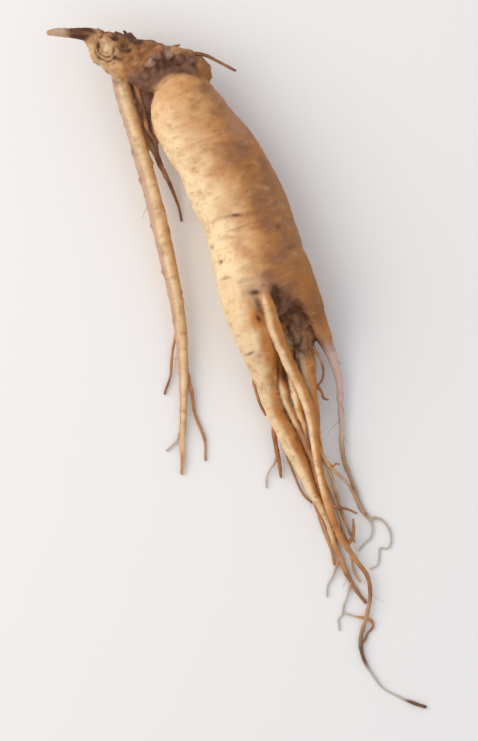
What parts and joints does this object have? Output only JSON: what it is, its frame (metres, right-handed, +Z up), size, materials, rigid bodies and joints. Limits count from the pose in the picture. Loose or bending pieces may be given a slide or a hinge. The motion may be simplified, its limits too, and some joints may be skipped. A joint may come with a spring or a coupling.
{
  "type": "ginseng root",
  "caption": "Fresh ginseng root lying on its side: crown with a withered stem stub, side root, plump ringed body, forked legs and long thin rootlets.",
  "frame": {"origin": "on the surface that the root lies on, at the centre of the flat rest spot under its body", "axes": "+Y along the root from its rootlets to its crown, +Z up away from the surface, +X to the right as seen from above with the crown at the top"},
  "size_m": [0.0623, 0.2422, 0.0274],
  "materials": {
    "root_skin": "dry, finely wrinkled cream-tan root skin, orange-brown on the legs"
  },
  "bodies": {
    "root": {"ginseng_root": "root_skin"}
  },
  "joints": []
}
